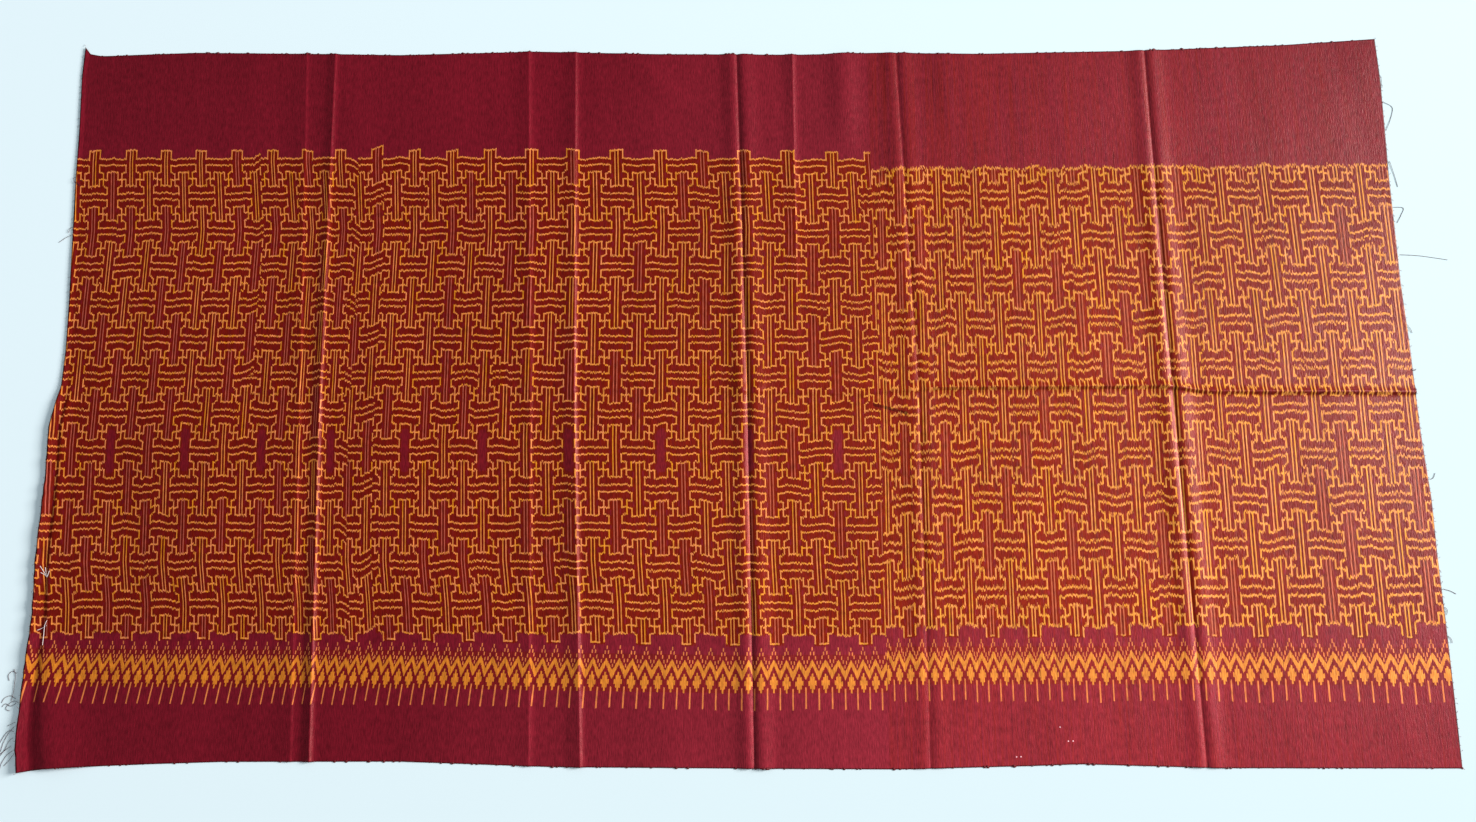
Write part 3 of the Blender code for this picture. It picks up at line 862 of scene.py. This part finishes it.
def fray_tree():
    """Short bent yarns standing out of each line."""
    sizes = [("Count", "Int"), ("Radius", "Float"), ("Drop", "Float"), ("Shortest", "Float"),
             ("Longest", "Float"), ("Least Turn", "Vector"), ("Most Turn", "Vector"), ("Yarn", "Material")]
    tree, given, line, result = new_tree("frayed_warp", sizes)
    points = add_node(tree, "GeometryNodeCurveToPoints", {"Curve": line, "Count": given["Count"]},
                      mode="COUNT")
    wander = add_node(tree, "ShaderNodeCombineXYZ", {"Y": random_number(tree, -0.003, 0.003, 2)})
    loose = add_node(tree, "GeometryNodeSetPosition", {
        "Geometry": points.outputs[0], "Offset": wander.outputs[0]})
    straight = add_node(tree, "GeometryNodeCurvePrimitiveLine", {"End": (1.0, 0.0, 0.0)})
    yarn = add_node(tree, "GeometryNodeResampleCurve", {
        "Curve": straight.outputs[0], "Count": 5}, mode="COUNT")
    length = random_number(tree, given["Shortest"], given["Longest"], 4)
    turn = add_node(tree, "FunctionNodeRandomValue", {0: given["Least Turn"], 1: given["Most Turn"], 8: 6},
                    data_type="FLOAT_VECTOR")
    placed = add_node(tree, "GeometryNodeInstanceOnPoints", {
        "Points": loose.outputs[0], "Instance": yarn.outputs[0], "Rotation": turn.outputs[0],
        "Scale": length.at(length, length)})
    real = add_node(tree, "GeometryNodeRealizeInstances", {0: placed.outputs[0]})
    factor = Reading(tree, add_node(tree, "GeometryNodeSplineParameter").outputs["Factor"])
    noise = add_node(tree, "ShaderNodeTexNoise", {"Scale": 260.0, "Detail": 0.0})
    bend = (Reading(tree, noise.outputs["Fac"]) - 0.5) * 0.009 * factor
    place = add_node(tree, "GeometryNodeInputPosition")
    split = add_node(tree, "ShaderNodeSeparateXYZ", {0: place.outputs[0]})
    x, y, z = (Reading(tree, socket) for socket in split.outputs)
    fallen = z - factor * factor * Reading(tree, given["Drop"])
    low = fallen.work("MAXIMUM", Reading(tree, given["Radius"]))
    bent = add_node(tree, "GeometryNodeSetPosition", {
        "Geometry": real.outputs[0], "Position": x.at(y + bend, low)})
    tube = round_yarn(tree, bent.outputs[0], given["Radius"], 3)
    return finish_tree(tree, tube, given["Yarn"], result, smooth=False)


def make_frayed_ends():
    """The two ends, each a piece of its own."""
    warp_yarn = yarn_material("warp_yarn", srgb(92, 16, 24), srgb(140, 44, 50))
    tree, ends = fray_tree(), []
    for name, column, facing, longest in FRAYED_ENDS:
        base = polylines(name, [panel_line(slice(None), column)], warp_yarn)
        ends.append(grow(base, tree, {
            "Count": FRAY_YARNS, "Radius": FRAY_RADIUS, "Drop": FRAY_DROP,
            "Shortest": FRAY_SHORTEST, "Longest": longest, "Yarn": warp_yarn,
            "Least Turn": (0.0, 0.0, facing - FRAY_TURN), "Most Turn": (0.0, 0.0, facing + FRAY_TURN)}))
    return ends


frayed_ends = make_frayed_ends()


# The loose yarns
# Single yarns have worked out of both cut ends and curl beside them, some back onto the cloth. Each
# is a list of places in millimetres, measured as the outline is, from where it leaves the cloth.
LOOSE_YARNS = [
    [(-910, 300.5), (-920.3, 305), (-918.2, 297.7), (-912.1, 293.2), (-916.9, 299.1)],
    [(-914.9, 220.8), (-924.3, 217.4), (-933.5, 210.8)],
    [(-909.3, 234.7), (-918.7, 231), (-920.9, 224.6)],
    [(-901.5, 69.1), (-905.3, 66.3), (-903.4, 60.7), (-899.4, 62.1)],
    [(-934.3, -366.3), (-931.1, -375.2), (-931.4, -382.7), (-931.6, -395.3), (-933.5, -406.6)],
    [(-921.1, -408), (-930.4, -406.7), (-937.6, -411.6), (-939.7, -416.6), (-934.2, -419.2)],
    [(-922.6, -432.5), (-928.7, -434.8), (-934.8, -437.9)],
    [(-925, -444.7), (-931.9, -443.5), (-937.5, -449.1), (-942.9, -459)],
    [(-926.4, -462.4), (-933, -466.5), (-941.4, -472.8)],
    [(-923.2, -473.9), (-928.9, -481.3), (-935.1, -487.4)],
    [(-927, -404), (-935, -400), (-943, -403), (-946, -409)],
    [(-926, -409), (-933, -413), (-941, -410), (-945, -414)],
    [(-924, -438), (-932, -446), (-938, -458), (-941, -470)],
    [(-924, -452), (-931, -457), (-936, -468), (-946, -481)],
    [(-923, -468), (-932, -474), (-938, -484), (-940, -493)],
    [(-930, -372), (-936, -369), (-941, -374), (-939, -381)],
    [(914.9, 440.4), (916.9, 438.9), (917, 422.4)],
    [(914.8, 401.4), (921.8, 398.3), (928.6, 391.7), (923.5, 374.5), (915.6, 358.2)],
    [(915.7, 314), (919.6, 297.8), (923.7, 275.9)],
    [(914.1, 246.4), (927.8, 245.4), (923.9, 235.3), (917.2, 223.9)],
    [(915.7, 178.4), (943.6, 176.5), (980.2, 170.6)],
    [(915.1, 76.8), (918.3, 75.4), (921, 68.4)],
    [(914.2, 18.7), (916.6, 16), (920.9, 18.7)],
    [(922.7, -130.5), (927.3, -128.5), (930.4, -121.9)],
    [(924.1, -273.3), (932.8, -275.9), (940.1, -279.8)],
    [(922.7, -296.4), (926.2, -300.2), (924.2, -306.6)],
    [(922.4, -333.2), (927.1, -337), (927.8, -342.1)],
]
LOOSE_RADIUS = 0.00028
DROP_REACH = 0.006  # a yarn that leaves a raised edge is down on the table about this far out
YARN_LYING = 1.2  # radii from what it lies on to its middle
YARN_STEP = 0.0015


def thread_tree():
    """A round yarn along a smooth curve through each line's places."""
    tree, given, line, result = new_tree("loose_yarn", [("Radius", "Float"), ("Yarn", "Material")])
    soft = add_node(tree, "GeometryNodeCurveSplineType", {"Curve": line}, spline_type="CATMULL_ROM")
    even = add_node(tree, "GeometryNodeResampleCurve", {"Curve": soft.outputs[0], "Length": YARN_STEP},
                    mode="LENGTH")
    return finish_tree(tree, round_yarn(tree, even.outputs[0], given["Radius"], 4), given["Yarn"], result)


def lying(line, radius):
    """A yarn's places with their heights: on the cloth, or down on the table past its ends."""
    places = []
    for seen_x, seen_y in line:
        x, y = seen_x * MILLIMETRE, seen_y * MILLIMETRE
        first, last = left_end(y), float(read(RIGHT_END, y))
        on_cloth = min(max(x, first), last)
        fall = math.exp(-abs(x - on_cloth) / DROP_REACH)
        z = (float(panel_height(on_cloth, y)) + SILK_THICKNESS) * fall + radius * YARN_LYING
        places.append((x - CENTRE[0], y - CENTRE[1], z))
    return places


def make_yarns(name, lines, radius, yarn):
    """Yarns of one kind as one piece."""
    base = polylines(name, [lying(line, radius) for line in lines], yarn)
    return grow(base, yarn_shape, {"Radius": radius, "Yarn": yarn})


yarn_shape = thread_tree()
loose_yarns = make_yarns("loose_yarns", LOOSE_YARNS, LOOSE_RADIUS,
                         yarn_material("loose_yarn", srgb(56, 18, 22), srgb(104, 36, 42)))


# The white threads
# Two bits of undyed white thread are caught in the turned-up left end: a tuft of four ends and a
# forked one below it.
WHITE_THREADS = [
    [(-911.7, -233.9), (-907.4, -241), (-902.2, -248.3)],
    [(-906.2, -235.6), (-904.8, -242), (-902.2, -248.3)],
    [(-910.2, -242.4), (-906.1, -245.2), (-902.2, -248.3)],
    [(-899.3, -240.2), (-900.4, -244.4), (-902.2, -248.3)],
    [(-907.5, -317), (-902.1, -314.2), (-895.4, -310.8)],
    [(-899, -311.6), (-898.6, -323.2), (-898.7, -335.9)],
    [(-896, -304.5), (-897.5, -307.8), (-899, -311.6)],
]
WHITE_RADIUS = 0.00034
white_threads = make_yarns("white_threads", WHITE_THREADS, WHITE_RADIUS,
                           yarn_material("white_thread", srgb(214, 196, 196), srgb(248, 240, 238)))


# Daylight and camera
# One wide window to the right and a little behind, the pale room filling in from all round, and
# the camera held above the near side, looking almost straight down.
WINDOW_PLACE, WINDOW_TARGET = Vector((5.2, 0.90, 2.4)), Vector((0.1, 0.0, 0.0))
CAMERA_PLACE = (0.02025, -0.27008, 1.4137)
CAMERA_TURNS = [(2.733, "Z"), (9.45, "X"), (-3.071, "Z")]  # in degrees, the last is made first

scene = bpy.context.scene
daylight = bpy.data.lights.new("window", "AREA")
daylight.shape = "RECTANGLE"
daylight.size, daylight.size_y = 2.0, 2.1
daylight.energy = 710.0
daylight.color = (1.0, 0.985, 0.96)
window = bpy.data.objects.new("window", daylight)
facing = (WINDOW_TARGET - WINDOW_PLACE).to_track_quat("-Z", "Y")
window.matrix_world = Matrix.Translation(WINDOW_PLACE) @ facing.to_matrix().to_4x4()
scene.collection.objects.link(window)

room = bpy.data.worlds.new("pale_room")
room.use_nodes = True
room_nodes, room_links = room.node_tree.nodes, room.node_tree.links
walls = room_nodes["Background"]
ceiling = room_nodes.new("ShaderNodeBackground")  # what the silk's gloss sees, a ceiling in shade
for side, strength in ((walls, 0.48), (ceiling, 0.03)):
    side.inputs["Color"].default_value = (0.86, 0.95, 1.0, 1.0)
    side.inputs["Strength"].default_value = strength
path = room_nodes.new("ShaderNodeLightPath")
either = room_nodes.new("ShaderNodeMixShader")
room_links.new(path.outputs["Is Glossy Ray"], either.inputs["Fac"])
room_links.new(walls.outputs[0], either.inputs[1])
room_links.new(ceiling.outputs[0], either.inputs[2])
room_links.new(either.outputs[0], room_nodes["World Output"].inputs["Surface"])
scene.world = room
scene.view_settings.view_transform = "Standard"

camera_data = bpy.data.cameras.new("camera")
camera_data.sensor_width = 36.0
camera_data.lens = 26.0
camera_data.clip_start = 0.05
camera = bpy.data.objects.new("camera", camera_data)
stand = Matrix.Translation(CAMERA_PLACE)
for degrees, axis in CAMERA_TURNS:
    stand = stand @ Matrix.Rotation(math.radians(degrees), 4, axis)
camera.matrix_world = stand
scene.collection.objects.link(camera)
scene.camera = camera
